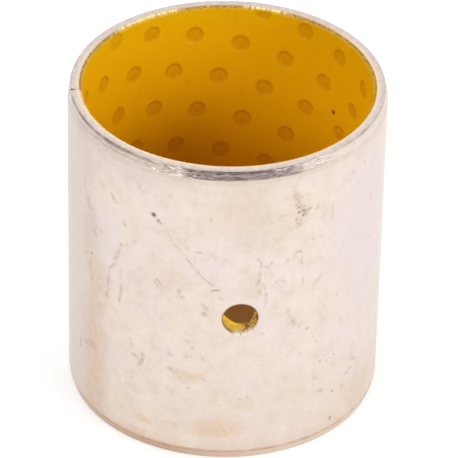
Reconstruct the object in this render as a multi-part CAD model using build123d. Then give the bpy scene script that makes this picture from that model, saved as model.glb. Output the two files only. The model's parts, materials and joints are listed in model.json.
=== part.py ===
from build123d import *
import os
from math import degrees, isclose, pi

# Wrapped bearing bush. A flat three-layer strip is rolled into a ring and closed with a butt seam:
#   steel_backing      tin-plated steel, the structural wall that is pressed into a housing
#   bronze_interlayer  thin sintered bronze that keys the lining to the steel
#   acetal_lining      yellow acetal that runs on the shaft, with rows of shallow grease dimples
#
# Millimetres. The bore axis is +Z, the base stands on Z = 0, the oil hole faces -Y and the seam
# is on -X. Strip positions are measured round the bore from the seam, passing -Y first.

os.makedirs("parts", exist_ok=True)

# Driving dimensions: the ring
bore_diameter = 50.0
outside_diameter = 55.0
length = 60.0
lining_thickness = 0.25
bronze_thickness = 0.30

# Driving dimensions: the ends. A long lead chamfer outside starts the press fit, and a short one at
# the bore's mouths cuts through the lining and bares the bronze.
lead_length = 1.60
lead_depth = 0.45
mouth_chamfer = 0.45

# Driving dimensions: the seam and the oil hole. The strip's square ends meet first at the bore, so
# the seam gapes outside.
seam_azimuth = 180.0
seam_gap_inside = 0.06
seam_gap_outside = 0.16
seam_edge_break = 0.20
oil_hole_azimuth = 270.0
oil_hole_diameter = 6.0
oil_hole_height = length / 2
oil_hole_edge_break = 0.15

# Driving dimensions: the grease dimples, on a skewed lattice across the flat strip
dimple_diameter = 3.30
dimple_floor_diameter = 2.50
dimple_depth = 0.18
dimple_sides = 12
row_pitch = 8.45
row_tilt = 12.9
column_pitch = 7.93
column_tilt = -61.2
first_dimple_round = 84.5
first_dimple_height = 53.8

# Worked out from the above
bore_radius = bore_diameter / 2
bronze_radius = bore_radius + lining_thickness
steel_radius = bronze_radius + bronze_thickness
outside_radius = outside_diameter / 2
wall = outside_radius - bore_radius
strip_length = pi * bore_diameter
overcut = 1.0


def wall_section():
    """Section of the whole wall: lead chamfers outside, 45 degree chamfers at the bore's mouths."""
    corners = [
        (bore_radius + mouth_chamfer, 0),
        (outside_radius - lead_depth, 0),
        (outside_radius, lead_length),
        (outside_radius, length - lead_length),
        (outside_radius - lead_depth, length),
        (bore_radius + mouth_chamfer, length),
        (bore_radius, length - mouth_chamfer),
        (bore_radius, mouth_chamfer),
    ]
    return Polygon(*corners, align=None)


def ring(inner_radius, outer_radius):
    """One layer of the wall between two radii, swept once round from the seam back to the seam."""
    band = Rectangle(outer_radius - inner_radius, length, align=Align.MIN)
    layer = wall_section() & (Pos(inner_radius, 0) * band)
    return Rot(0, 0, seam_azimuth) * revolve(Plane.XZ * layer, Axis.Z)


def seam_cutter():
    """Tapered slot through the wall, opening out where the sheared edges of the strip are rounded."""
    half_inside = seam_gap_inside / 2
    half_outside = seam_gap_outside / 2
    inside = bore_radius - overcut
    break_start = outside_radius - seam_edge_break
    outside = outside_radius + overcut
    half_mouth = half_outside + outside - break_start
    slot = Polygon(
        (inside, -half_inside),
        (bore_radius, -half_inside),
        (break_start, -half_outside),
        (outside, -half_mouth),
        (outside, half_mouth),
        (break_start, half_outside),
        (bore_radius, half_inside),
        (inside, half_inside),
        align=None,
    )
    return Rot(0, 0, seam_azimuth) * Pos(0, 0, -overcut) * extrude(slot, length + 2 * overcut)


def oil_hole_cutter():
    """Drill through the wall at mid-length."""
    drill = Cylinder(oil_hole_diameter / 2, wall + 2 * overcut)
    mid_wall = Pos(bore_radius + wall / 2, 0, oil_hole_height)
    return Rot(0, 0, oil_hole_azimuth) * mid_wall * Rot(0, 90, 0) * drill


def break_oil_hole_edge(steel):
    """Small chamfer all round the outer edge of the oil hole."""
    cylinders = steel.faces().filter_by(GeomType.CYLINDER)
    hole_wall = cylinders.filter_by(lambda face: isclose(face.radius, oil_hole_diameter / 2))
    outer_rim = hole_wall.edges().sort_by(Axis.Y)[0]
    return chamfer(outer_rim, oil_hole_edge_break)


def on_strip(position_round, height, radius):
    """Location on the ring for a point of the strip, with its Z axis pointing out of the bore."""
    azimuth = seam_azimuth + degrees(position_round / bore_radius)
    return Rot(0, 0, azimuth) * Pos(radius, 0, height) * Rot(0, 90, 0)


def dimple_cutter(position_round, height):
    """Blunt many-sided pin that sinks one grease dimple into the bore."""
    floor_radius = dimple_floor_diameter / 2
    flank_slope = (dimple_diameter - dimple_floor_diameter) / 2 / dimple_depth
    pin_length = dimple_depth + overcut
    base_radius = floor_radius + flank_slope * pin_length
    base = Pos(0, 0, -pin_length) * RegularPolygon(base_radius, dimple_sides)
    tip = RegularPolygon(floor_radius, dimple_sides)
    pin = on_strip(position_round, height, bore_radius + dimple_depth) * loft([base, tip])
    if min(position_round, strip_length - position_round) < dimple_diameter:
        pin &= own_side_of_seam(position_round)
    return pin


def own_side_of_seam(position_round):
    """Space on one side of the seam, so that a dimple cut off by one end of the strip spares the other."""
    side = Align.MAX if position_round < strip_length / 2 else Align.MIN
    return Box(outside_diameter, outside_radius, length, align=(Align.CENTER, side, Align.MIN))


def dimple_places():
    """Every lattice point whose centre lies on the strip."""
    places = []
    reach = round((strip_length + length) / min(row_pitch, column_pitch))
    first_dimple = Vector(first_dimple_round, first_dimple_height)
    row_step = Vector(row_pitch, 0).rotate(Axis.Z, row_tilt)
    column_step = Vector(column_pitch, 0).rotate(Axis.Z, column_tilt)
    for along_row in range(-reach, reach + 1):
        for along_column in range(-reach, reach + 1):
            centre = first_dimple + row_step * along_row + column_step * along_column
            if 0 < centre.X < strip_length and 0 < centre.Y < length:
                places.append((centre.X, centre.Y))
    return places


seam = seam_cutter()
oil_hole = oil_hole_cutter()

steel_backing = break_oil_hole_edge(ring(steel_radius, outside_radius) - oil_hole) - seam
bronze_interlayer = ring(bronze_radius, steel_radius) - oil_hole - seam
dimples = [dimple_cutter(*place) for place in dimple_places()]
acetal_lining = ring(bore_radius, bronze_radius) - dimples - oil_hole - seam

for node, solid in {
    "steel_backing": steel_backing,
    "bronze_interlayer": bronze_interlayer,
    "acetal_lining": acetal_lining,
}.items():
    export_step(solid, f"parts/{node}.step")
    print(f"{node}: {solid.volume / 1000:.2f} cm3")
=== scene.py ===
import json
from math import ceil, cos, pi, radians, sin

import bpy
import numpy as np
from mathutils import Matrix, Vector, noise
from mathutils.geometry import delaunay_2d_cdt


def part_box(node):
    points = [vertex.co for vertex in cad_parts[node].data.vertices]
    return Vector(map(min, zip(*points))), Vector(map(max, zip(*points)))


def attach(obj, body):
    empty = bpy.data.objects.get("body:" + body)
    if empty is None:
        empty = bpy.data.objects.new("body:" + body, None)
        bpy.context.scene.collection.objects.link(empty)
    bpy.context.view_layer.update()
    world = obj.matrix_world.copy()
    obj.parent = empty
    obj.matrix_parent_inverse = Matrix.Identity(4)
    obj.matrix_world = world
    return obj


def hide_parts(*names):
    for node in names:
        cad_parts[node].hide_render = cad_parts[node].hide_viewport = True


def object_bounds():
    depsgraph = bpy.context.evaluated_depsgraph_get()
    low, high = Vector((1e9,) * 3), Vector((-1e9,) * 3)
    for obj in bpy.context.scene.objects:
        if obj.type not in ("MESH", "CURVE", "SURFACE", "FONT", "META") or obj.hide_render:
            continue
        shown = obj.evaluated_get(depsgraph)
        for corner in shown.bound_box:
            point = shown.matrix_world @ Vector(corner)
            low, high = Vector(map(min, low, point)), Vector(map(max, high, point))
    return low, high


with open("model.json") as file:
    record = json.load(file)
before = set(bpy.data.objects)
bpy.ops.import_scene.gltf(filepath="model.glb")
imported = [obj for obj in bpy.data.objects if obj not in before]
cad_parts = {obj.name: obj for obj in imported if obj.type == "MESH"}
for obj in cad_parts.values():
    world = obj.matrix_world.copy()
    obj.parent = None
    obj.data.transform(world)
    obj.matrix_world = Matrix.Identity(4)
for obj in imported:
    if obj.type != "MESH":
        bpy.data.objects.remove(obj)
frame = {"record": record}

# Looks of a wrapped, acetal-lined bush. Lengths are millimetres up to the point where a mesh or the
# camera is made, and only the floor and the lamps are given in metres. The bush was rolled from a flat
# strip, so a place on it is an arc, the length round a reference radius from +X, and a height up the
# axis. The seam is on -X, where the arc ends, and the oil hole on -Y.
MM = 0.001
SHARP_ANGLE = radians(38)
cad_low, cad_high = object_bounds()
mounts = {mount["name"]: mount for mount in frame["record"]["mounts"]}

# The ring, from the frame
BORE_RADIUS = mounts["bore"]["dims"]["r_mm"]
BRONZE_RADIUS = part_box("acetal_lining")[1].y / MM
STEEL_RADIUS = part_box("bronze_interlayer")[1].y / MM
OUTSIDE_RADIUS = mounts["outside"]["dims"]["r_mm"]
LENGTH = cad_high.z / MM
LEAD_LENGTH = (LENGTH - mounts["outside"]["dims"]["length_mm"]) / 2
LEAD_DEPTH = 0.45
MOUTH_CHAMFER = (LENGTH - mounts["bore"]["dims"]["length_mm"]) / 2

# The seam gapes a little outside, because the strip's square ends meet at the bore first. The CAD
# leaves 0.06 at the bore. It is drawn narrower, so that the white behind it shows less: from the side
# opposite the seam a faint pale line is left in the bore.
SEAM_GAP_INSIDE = 0.01
SEAM_GAP_OUTSIDE = 0.16
SEAM_EDGE_BREAK = 0.20
SEAM_ROUNDING = 0.11

# How far the bond lines wander where the layers end
STEEL_BOND_DEPTH = 0.030
LINING_BOND_DEPTH = 0.075

# The oil hole
HOLE_AZIMUTH = -pi / 2
HOLE_RADIUS = mounts["oil_hole"]["dims"]["r_mm"]
HOLE_HEIGHT = mounts["oil_hole"]["pos_m"][2] / MM
HOLE_SIDES = 72
HOLE_EDGE = 0.10
HOLE_ANGLES = 2 * pi * np.arange(HOLE_SIDES) / HOLE_SIDES
HOLE_PLACE = (HOLE_AZIMUTH, HOLE_HEIGHT)
HOLE_SINK = 0.10
HOLE_SINK_REACH = 0.42
HOLE_LIP = 0.035

# Height of the ridges along the leads and of the waves in their edges, plain and where scuffed
RIDGES = 0.006
SCUFFED_RIDGES = 0.020
WAVES = 0.012
SCUFFED_WAVES = 0.050

# The grease dimples: a skewed lattice, measured along the bore from the seam, past the oil hole
DIMPLE_RADIUS = 1.86
DIMPLE_FLOOR_RADIUS = 1.15
DIMPLE_DEPTH = 0.18
DIMPLE_DOME = 0.05
DIMPLE_SIDES = 28
FIRST_DIMPLE = np.array((84.5, 53.8))
ROW_STEP = 8.45 * np.array((cos(radians(12.9)), sin(radians(12.9))))
COLUMN_STEP = 7.93 * np.array((cos(radians(-61.2)), sin(radians(-61.2))))

# Marks on the outside. A place is (length round the outside from the oil hole, height). Most were read
# off the photograph and turned into millimetres through the fitted camera.
PITS = [  # place, radius, depth, darkness
    ((-15.4, 49.4), 0.42, 0.10, 0.90),
    ((-14.5, 48.5), 0.34, 0.05, 0.50),
    ((-14.1, 48.0), 0.22, 0.03, 0.45),
    ((10.8, 50.5), 0.30, 0.05, 0.50),
    ((10.7, 49.6), 0.26, 0.04, 0.60),
    ((12.2, 25.5), 0.24, 0.02, 0.42),
    ((18.1, 3.6), 0.34, 0.05, 0.55),
    ((18.3, 9.4), 0.24, 0.04, 0.42),
    ((0.2, 12.9), 0.18, 0.02, 0.30),
    ((18.3, 17.3), 0.18, 0.02, 0.34),
    ((15.3, 17.4), 0.20, 0.02, 0.36),
    ((14.2, 22.1), 0.20, 0.02, 0.30),
    ((-8.7, 14.9), 0.22, 0.02, 0.34),
    ((-29.9, 34.6), 0.24, 0.03, 0.60),
]
SCRATCHES = [  # places along it, darkness
    (((-13.6, 48.2), (-11.8, 44.8), (-9.5, 42.0)), 0.12),
    (((-9.5, 42.0), (-7.4, 39.5), (-5.0, 37.0)), 0.42),
    (((-5.1, 35.8), (-3.9, 36.1)), 0.75),
    (((-3.6, 34.7), (-2.9, 34.1)), 0.30),
    (((-7.6, 43.6), (-6.7, 43.4)), 0.34),
    (((10.8, 40.8), (11.0, 35.5)), 0.22),
    (((6.2, 49.5), (6.7, 50.5), (7.6, 50.4)), 0.34),
    (((14.7, 38.0), (15.0, 36.1), (13.9, 34.9)), 0.26),
    (((16.8, 49.6), (17.0, 46.3)), 0.14),
]
SCRATCH_WIDTH = 0.11
SCRATCH_DEPTH = 0.015
SMUDGES = [  # from place to place, half width, darkness
    ((-22.1, 40.7), (-22.8, 38.3), 0.72, 0.42),
    ((-22.8, 38.3), (-23.7, 35.8), 0.72, 0.40),
    ((-23.7, 35.8), (-24.7, 34.1), 0.65, 0.42),
    ((-24.7, 34.1), (-25.3, 30.5), 0.65, 0.46),
    ((-25.2, 30.2), (-25.5, 28.3), 0.72, 0.48),
    ((-20.9, 40.8), (-20.5, 41.1), 0.72, 0.46),
    ((-19.2, 42.1), (-19.0, 42.4), 0.65, 0.56),
    ((-22.0, 35.1), (-22.0, 31.6), 0.58, 0.26),
    ((-22.0, 31.6), (-22.4, 28.9), 0.72, 0.46),
    ((-15.2, 35.9), (-14.5, 35.0), 0.49, 0.66),
    ((-14.8, 36.5), (-14.0, 35.6), 0.43, 0.50),
    ((-10.7, 35.2), (-10.0, 33.7), 0.58, 0.52),
    ((-6.6, 32.8), (-5.9, 32.0), 0.61, 0.40),
    ((-6.5, 31.0), (-5.9, 30.6), 0.61, 0.50),
    ((-30.8, 46.2), (-30.6, 44.4), 1.45, 0.40),
    ((-32.2, 48.7), (-32.2, 46.8), 0.72, 0.24),
    ((-27.3, 51.2), (-26.5, 50.2), 0.72, 0.32),
    ((-24.2, 49.8), (-23.2, 49.0), 0.61, 0.46),
    ((-21.6, 45.7), (-21.2, 44.9), 0.61, 0.40),
    ((-28.9, 40.0), (-28.5, 39.3), 0.61, 0.42),
    ((-26.9, 40.8), (-26.7, 40.4), 0.55, 0.42),
    ((-30.4, 32.6), (-29.8, 29.5), 0.94, 0.38),
    ((-12.4, 54.2), (-12.1, 54.0), 0.55, 0.42),
    ((-18.3, 54.2), (-17.5, 53.3), 0.87, 0.22),
    ((-11.6, 44.4), (-10.6, 43.4), 0.65, 0.20),
    ((8.9, 56.2), (9.3, 54.0), 0.65, 0.36),
    ((9.3, 53.9), (10.2, 51.6), 1.10, 0.55),
    ((10.2, 51.6), (10.9, 49.8), 1.10, 0.62),
    ((10.8, 50.4), (11.8, 50.5), 0.70, 0.60),
    ((10.3, 49.3), (9.8, 47.8), 0.90, 0.50),
    ((13.3, 50.2), (13.6, 50.6), 0.61, 0.40),
    ((9.5, 42.2), (10.1, 42.4), 0.43, 0.44),
    ((10.1, 42.4), (10.8, 42.0), 0.43, 0.50),
    ((3.0, 42.2), (3.3, 40.8), 0.55, 0.56),
    ((3.6, 40.6), (4.6, 40.6), 0.49, 0.46),
    ((4.6, 40.6), (5.2, 41.4), 0.46, 0.42),
    ((3.1, 40.1), (3.0, 38.0), 0.61, 0.34),
    ((3.0, 38.0), (2.9, 34.8), 0.72, 0.46),
    ((3.4, 37.3), (4.2, 36.1), 0.52, 0.28),
    ((4.2, 36.1), (4.3, 34.6), 0.52, 0.38),
    ((4.3, 34.4), (4.4, 32.5), 0.61, 0.28),
    ((8.1, 41.4), (8.2, 41.1), 0.65, 0.30),
    ((12.9, 44.0), (12.7, 45.4), 0.49, 0.24),
    ((8.3, 30.6), (9.1, 28.4), 0.61, 0.40),
    ((9.0, 28.4), (9.6, 27.2), 1.16, 0.52),
    ((9.7, 27.0), (10.5, 26.6), 0.65, 0.32),
    ((-34.0, 13.9), (-34.0, 12.5), 0.70, 0.80),
    ((-31.8, 14.6), (-29.4, 15.4), 1.30, 0.42),
    ((-20.1, 21.7), (-19.7, 20.3), 0.61, 0.46),
    ((-19.5, 18.7), (-18.3, 18.6), 0.72, 0.44),
    ((-18.3, 18.6), (-17.2, 19.4), 0.70, 0.50),
    ((-17.5, 18.6), (-18.0, 17.2), 0.65, 0.62),
    ((-9.2, 24.8), (-9.0, 24.6), 0.65, 0.34),
    ((-9.3, 21.4), (-8.6, 21.7), 0.61, 0.42),
    ((-12.2, 21.8), (-12.0, 21.2), 0.87, 0.28),
    ((-6.6, 21.7), (-6.2, 21.4), 0.65, 0.30),
    ((-12.6, 14.3), (-11.7, 12.8), 0.87, 0.26),
    ((-12.4, 18.2), (-10.8, 17.9), 0.87, 0.46),
    ((23.0, 14.4), (24.8, 12.4), 0.87, 0.36),
    ((21.8, 11.2), (23.2, 11.7), 0.72, 0.34),
    ((14.2, 11.1), (15.8, 10.8), 0.61, 0.48),
    ((13.9, 14.3), (14.6, 14.0), 0.65, 0.28),
    ((20.6, 9.3), (21.2, 8.9), 0.65, 0.28),
    ((20.0, 24.4), (20.3, 23.2), 0.72, 0.22),
    ((28.0, 45.2), (28.2, 44.8), 0.72, 0.34),
    ((32.8, 31.1), (32.8, 30.5), 0.65, 0.40),
    ((9.2, 21.3), (9.2, 20.9), 0.61, 0.24),
]
PEACH = (226, 203, 184)
ORANGE = (216, 178, 132)
TAN = (214, 194, 172)
LILAC = (228, 216, 216)
ASH = (206, 191, 183)
STAINS = [  # place, half sizes, share, colour
    ((-0.4, 52.4), (5.8, 5.0), 0.46, PEACH),
    ((-4.4, 49.0), (3.6, 2.8), 0.26, PEACH),
    ((3.4, 47.4), (5.4, 5.4), 0.40, TAN),
    ((9.8, 51.2), (2.8, 4.0), 0.22, ORANGE),
    ((-13.6, 37.0), (5.0, 4.4), 0.50, PEACH),
    ((-13.3, 34.6), (2.2, 1.2), 0.30, TAN),
    ((-8.9, 17.6), (3.4, 1.4), 0.44, ORANGE),
    ((-19.2, 11.6), (1.8, 1.1), 0.40, TAN),
    ((-20.5, 9.0), (1.1, 2.4), 0.38, TAN),
    ((-17.1, 6.0), (2.1, 1.0), 0.50, ORANGE),
    ((-12.3, 6.0), (2.2, 0.7), 0.34, ORANGE),
    ((-3.6, 6.4), (5.0, 2.5), 0.44, ORANGE),
    ((-4.1, 13.8), (0.9, 2.2), 0.42, TAN),
    ((-15.1, 22.6), (1.0, 1.9), 0.24, TAN),
    ((1.2, 11.6), (2.0, 1.6), 0.34, TAN),
    ((26.0, 7.0), (5.4, 4.6), 0.62, TAN),
    ((0.0, 57.4), (12.0, 2.2), 0.30, TAN),
    ((-20.0, 56.0), (7.0, 3.4), 0.25, ASH),
    ((1.5, 54.0), (5.8, 5.2), 0.26, ASH),
    ((7.5, 14.0), (5.0, 3.6), 0.24, TAN),
    ((-27.0, 41.5), (7.5, 6.5), 0.75, LILAC),
    ((27.0, 42.0), (13.0, 17.0), 0.90, LILAC),
    ((27.0, 22.0), (10.0, 14.0), 0.60, LILAC),
    ((-3.6, 41.5), (4.0, 4.0), 0.26, LILAC),
]
BANDS = [  # dull upright bands at the left: from place to place, half width, darkness
    ((-29.0, 3.0), (-29.5, 19.0), 5.6, 0.70),
    ((-29.6, 20.0), (-27.6, 31.0), 4.8, 0.56),
    ((-29.4, 31.0), (-30.4, 42.0), 4.0, 0.44),
    ((-31.4, 50.0), (-30.6, 54.0), 2.6, 0.30),
    ((-22.0, 1.5), (-12.0, 1.0), 3.0, 0.50),
]
# painted highlight: the stretches below are where the bronze edge is painted bright
PAINTED_GLINTS = [  # stretches where the bronze edge shines: middle, half length
    (100.5, 7.0),
    (76.5, 4.2),
    (-25.0, 18.0),
]
LINING_SPECK = (20.4, 14.4, 43.8)
SWARM_PLACE = (9.9, 51.0)
SWARM_HALF_SIZES = (2.0, 3.4)

# The camera, as fitted to the photograph, before its turn round the bush in degrees. Then the floor, in
# metres, and the lamps.
CAMERA_LENS = 315.87
SENSOR_WIDTH = 36
CAMERA_TURN = -6.16
CAMERA_ROLL = -1.243
CAMERA_PLACE = (0, -579.85, 432.34)
CAMERA_TARGET = (0.70, -0.13, 29.74)
FLOOR_RADIUS = 6
BEHIND_CAMERA = radians(-67)
LAMPS = [  # name, place in metres, size, power
    ("front_right", (0.79, -0.79, 0.46), 0.62, 5.1),
    ("front_left", (-0.74, -0.74, 0.61), 0.45, 1.4),
]


# ---- Geometry ----

def ease(value, start, end):
    """Smooth step from 0 at start to 1 at end."""
    t = np.clip((np.asarray(value, float) - start) / (end - start), 0.0, 1.0)
    return t * t * (3 - 2 * t)


def ripple(arcs, heights, arc_size, height_size, seed):
    """Smooth noise from -1 to 1 over the flat strip, with features of the given sizes."""
    return np.array([
        noise.noise(Vector((arc / arc_size, height / height_size, seed)))
        for arc, height in zip(arcs, heights)
    ])


def lies_on(radii, radius, tolerance=1e-6):
    """Whether each radius is the given one."""
    return np.abs(radii - radius) < tolerance


def scratch_lines():
    """Every straight stretch of every scratch: start, end, darkness."""
    return [
        (start, end, darkness)
        for places, darkness in SCRATCHES for start, end in zip(places, places[1:])
    ]


def beside_scratch(across, heights):
    """Distance of each place from the nearest scratch."""
    places = np.column_stack((across, heights))
    nearest = np.full(len(places), np.inf)
    for start, end, _ in scratch_lines():
        along = np.subtract(end, start)
        share = np.clip((places - start) @ along / (along @ along), 0, 1)
        nearest = np.minimum(nearest, np.linalg.norm(places - start - share[:, None] * along, axis=1))
    return nearest


def section_stations(corners):
    """Points along a closed section, and their distances round it.

    A corner is (radius, height, rounding, longest step on the side after it).
    """
    arc_steps = 5
    stations = []
    for i, (radius, height, rounding, step) in enumerate(corners):
        corner = np.array((radius, height))
        before = np.array(corners[i - 1][:2])
        following = corners[(i + 1) % len(corners)]
        after = np.array(following[:2])
        towards_before = (before - corner) / np.linalg.norm(before - corner)
        towards_after = (after - corner) / np.linalg.norm(after - corner)
        start, end = corner + towards_before * rounding, corner + towards_after * rounding
        if rounding:
            for t in np.linspace(0, 1, arc_steps + 1)[:-1]:
                stations.append((1 - t) ** 2 * start + 2 * t * (1 - t) * corner + t * t * end)
        stop = after - towards_after * following[2]
        pieces = max(1, ceil(np.linalg.norm(stop - end) / step))
        for piece in range(pieces):
            stations.append(end + (stop - end) * piece / pieces)
    stations.append(stations[0])
    stations = np.array(stations)
    lengths = np.linalg.norm(np.diff(stations, axis=0), axis=1)
    return stations, np.concatenate(([0.0], np.cumsum(lengths)))


def half_turn(radius):
    """Azimuth of the strip's end at a radius, which leaves the seam's gap."""
    share = (radius - BORE_RADIUS) / (OUTSIDE_RADIUS - BORE_RADIUS)
    gap = SEAM_GAP_INSIDE + (SEAM_GAP_OUTSIDE - SEAM_GAP_INSIDE) * share
    return pi - gap / 2 / radius


class Layer:
    """One layer of the wall. Its skin is triangulated flat, arc against distance round the section."""

    def __init__(self, corners, reference_radius, column_step, relief):
        self.stations, self.along = section_stations(corners)
        self.reference_radius = reference_radius
        self.end = pi * reference_radius
        self.relief = relief
        self.rings = []
        self.cleared = []
        self.spared_end = 0.0
        self.rows = [self.row(i, column_step) for i in range(len(self.along) - 1)]
        self.rows.append(self.rows[0] + (0, self.along[-1]))

    def row(self, i, column_step):
        """One row of the grid, with extra columns where the strip's ends are rounded."""
        columns = ceil(2 * self.end / column_step(*self.stations[i]))
        at_ends = self.end - SEAM_EDGE_BREAK * np.array((1.4, 1.0, 0.65, 0.35, 0.12))
        inner = np.linspace(-at_ends[0], at_ends[0], columns)
        arcs = np.concatenate(((-self.end,), -at_ends[:0:-1], inner, at_ends[1:], (self.end,)))
        return np.column_stack((arcs, np.full(len(arcs), self.along[i])))

    def face_line(self, radius):
        """(offset, direction) of a straight face: its distance round is offset + direction * height."""
        radii, heights = self.stations.T
        on_face = lies_on(radii, radius, 1e-5)
        spans_middle = (heights[:-1] - LENGTH / 2) * (heights[1:] - LENGTH / 2) <= 0
        i = np.flatnonzero(on_face[:-1] & on_face[1:] & spans_middle)[0]
        direction = np.sign(heights[i + 1] - heights[i])
        return self.along[i] - direction * heights[i], direction

    def add_ring(self, azimuth, height, radius, face_radius, sides, turn=0.0):
        """A ring of points on a face, and their indices among all ring points."""
        offset, direction = self.face_line(face_radius)
        angles = 2 * pi * np.arange(sides) / sides + turn
        azimuths = azimuth + np.arcsin(radius * np.cos(angles) / face_radius)
        places = offset + direction * (height + radius * np.sin(angles))
        start = sum(len(ring) for ring in self.rings)
        self.rings.append(np.column_stack((azimuths * self.reference_radius, places)))
        return np.arange(start, start + sides)

    def clear(self, azimuth, height, radius, face_radius):
        """Keeps the grid away from a place that has rings."""
        offset, direction = self.face_line(face_radius)
        stretch = self.reference_radius / face_radius
        arc = azimuth * self.reference_radius
        self.cleared.append((arc, offset + direction * height, radius, stretch))

    def add_scratches(self):
        """Lines of points along every scratch, and no grid points close by."""
        offset, direction = self.face_line(OUTSIDE_RADIUS)
        hole_arc = HOLE_AZIMUTH * OUTSIDE_RADIUS
        spacing = 0.4
        for start, end, _ in scratch_lines():
            length = np.linalg.norm(np.subtract(end, start))
            along = np.subtract(end, start) / length
            aside = np.array((-along[1], along[0]))
            steps = np.linspace(0, length, ceil(length / spacing) + 1)
            for shift in (-1.6, -0.8, 0, 0.8, 1.6):
                line = start + np.outer(steps, along) + shift * SCRATCH_WIDTH * aside
                places = offset + direction * line[:, 1]
                self.rings.append(np.column_stack((hole_arc + line[:, 0], places)))
            for step in steps:
                arc, height = start + step * along
                self.clear(HOLE_AZIMUTH + arc / OUTSIDE_RADIUS, height, spacing, OUTSIDE_RADIUS)

    def layout(self):
        """All points of the flat layout, ring points first."""
        grid = np.concatenate(self.rows)
        at_end = np.abs(grid[:, 0]) > self.end - 1e-6
        at_end |= from_end(np.interp(grid[:, 1], self.along, self.stations[:, 1])) < self.spared_end
        for arc, place, radius, stretch in self.cleared:
            apart = np.hypot((grid[:, 0] - arc) / stretch, grid[:, 1] - place)
            keep = (apart > radius) | at_end
            grid, at_end = grid[keep], at_end[keep]
        if not self.rings:
            return grid
        rings = np.concatenate(self.rings)
        return np.concatenate((rings, grid))

    def wrap(self, arcs, radii, heights):
        """Points of the strip, rolled into the ring."""
        azimuths = arcs / self.end * half_turn(radii)
        return np.column_stack((radii * np.cos(azimuths), radii * np.sin(azimuths), heights))

    def mesh(self, hole_outer=None, hole_inner=None, hole_wall=()):
        """Vertices and triangles of the closed layer. hole_wall is (distance from axis, radius) rings."""
        flat = self.layout()
        laid = delaunay_2d_cdt([Vector(p) for p in flat], [], [], 0, 1e-7)
        source = np.array([origins[0] for origins in laid[3]])
        triangles = source[np.array(laid[2])]
        count = len(flat)
        for loop in (hole_outer, hole_inner):
            if loop is not None:
                triangles = triangles[~np.isin(triangles, loop).all(axis=1)]

        # the first and last rows of the layout are the same line on the base
        arcs, places = flat[:, 0], flat[:, 1]
        first = {round(arcs[i], 6): i for i in np.flatnonzero(places < 1e-9)}
        same = np.arange(count)
        for i in np.flatnonzero(places > self.along[-1] - 1e-9):
            same[i] = first[round(arcs[i], 6)]
        triangles = same[triangles]

        radii = np.interp(places, self.along, self.stations[:, 0])
        heights = np.interp(places, self.along, self.stations[:, 1])
        new_radii, new_heights = self.relief(arcs, radii, heights)
        vertices = self.wrap(arcs, new_radii, new_heights)
        faces = [tuple(t) for t in triangles.tolist()]
        for end, turn in ((-self.end, 1), (self.end, -1)):
            faces += self.sheared_end(arcs, places, new_radii, new_heights, end, turn)
        if hole_outer is not None:
            vertices, faces = self.hole_side(vertices, faces, hole_outer, hole_inner, hole_wall)
        return vertices, faces

    def sheared_end(self, arcs, places, radii, heights, end, turn):
        """The strip's sheared end, filled in its own plane."""
        on_end = np.flatnonzero(np.abs(arcs - end) < 1e-6)
        loop = on_end[np.argsort(places[on_end])][:-1]
        outline = [Vector((radii[i], heights[i])) for i in loop]
        edges = [(i, (i + 1) % len(loop)) for i in range(len(loop))]
        filled = delaunay_2d_cdt(outline, edges, [], 1, 1e-9)
        source = [origins[0] for origins in filled[3]]
        return [tuple(int(loop[source[i]]) for i in triangle[::turn]) for triangle in filled[2]]

    def hole_side(self, vertices, faces, hole_outer, hole_inner, hole_wall):
        """Joins the hole's edge on the outer face to its edge on the inner face."""
        cosines, sines = np.cos(HOLE_ANGLES), np.sin(HOLE_ANGLES)
        loops = [np.asarray(hole_outer)]
        for reach, radius in hole_wall:
            rough = 0.012 * ripple(4 * cosines + 9, 4 * sines + 2 * radius, 0.8, 0.8, 3)
            grains = ripple(HOLE_RADIUS * HOLE_ANGLES, np.full(HOLE_SIDES, radius), 0.42, 0.30, 17)
            rough += 0.06 * ease(cosines, 0.1, 0.6) * grains
            across = (reach + rough) * cosines
            arcs = (HOLE_AZIMUTH + np.arcsin(across / radius)) * self.reference_radius
            heights = HOLE_HEIGHT + (reach + rough) * sines
            loops.append(len(vertices) + np.arange(HOLE_SIDES))
            vertices = np.concatenate((vertices, self.wrap(arcs, np.full(HOLE_SIDES, radius), heights)))
        loops.append(np.asarray(hole_inner))
        for upper, lower in zip(loops, loops[1:]):
            for i in range(HOLE_SIDES):
                j = (i + 1) % HOLE_SIDES
                faces.append((int(upper[i]), int(upper[j]), int(lower[j]), int(lower[i])))
        return vertices, faces


def new_piece(name, vertices, faces, material, node):
    """A closed mesh that stands for a CAD node. Vertices that no face uses are left out."""
    used = sorted({i for face in faces for i in face})
    renumbered = {old: new for new, old in enumerate(used)}
    faces = [tuple(renumbered[i] for i in face) for face in faces]
    mesh = bpy.data.meshes.new(name)
    mesh.from_pydata((vertices[used] * MM).tolist(), [], faces)
    mesh.validate()
    mesh.shade_smooth()
    mesh.set_sharp_from_angle(angle=SHARP_ANGLE)
    mesh.materials.append(material)
    piece = bpy.data.objects.new(name, mesh)
    bpy.context.scene.collection.objects.link(piece)
    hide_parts(node)
    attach(piece, "root")
    return piece


def from_end(heights):
    """Distance from the nearer end of the bush."""
    return np.minimum(heights, LENGTH - heights)


def bond_line(arcs, reference_radius, depth):
    """Waviness of a bond line, where the sintered grains meet the layer beside them."""
    azimuths = arcs / reference_radius
    return depth * ripple(azimuths * STEEL_RADIUS, np.zeros(len(arcs)), 0.45, 1, 5)


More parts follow.
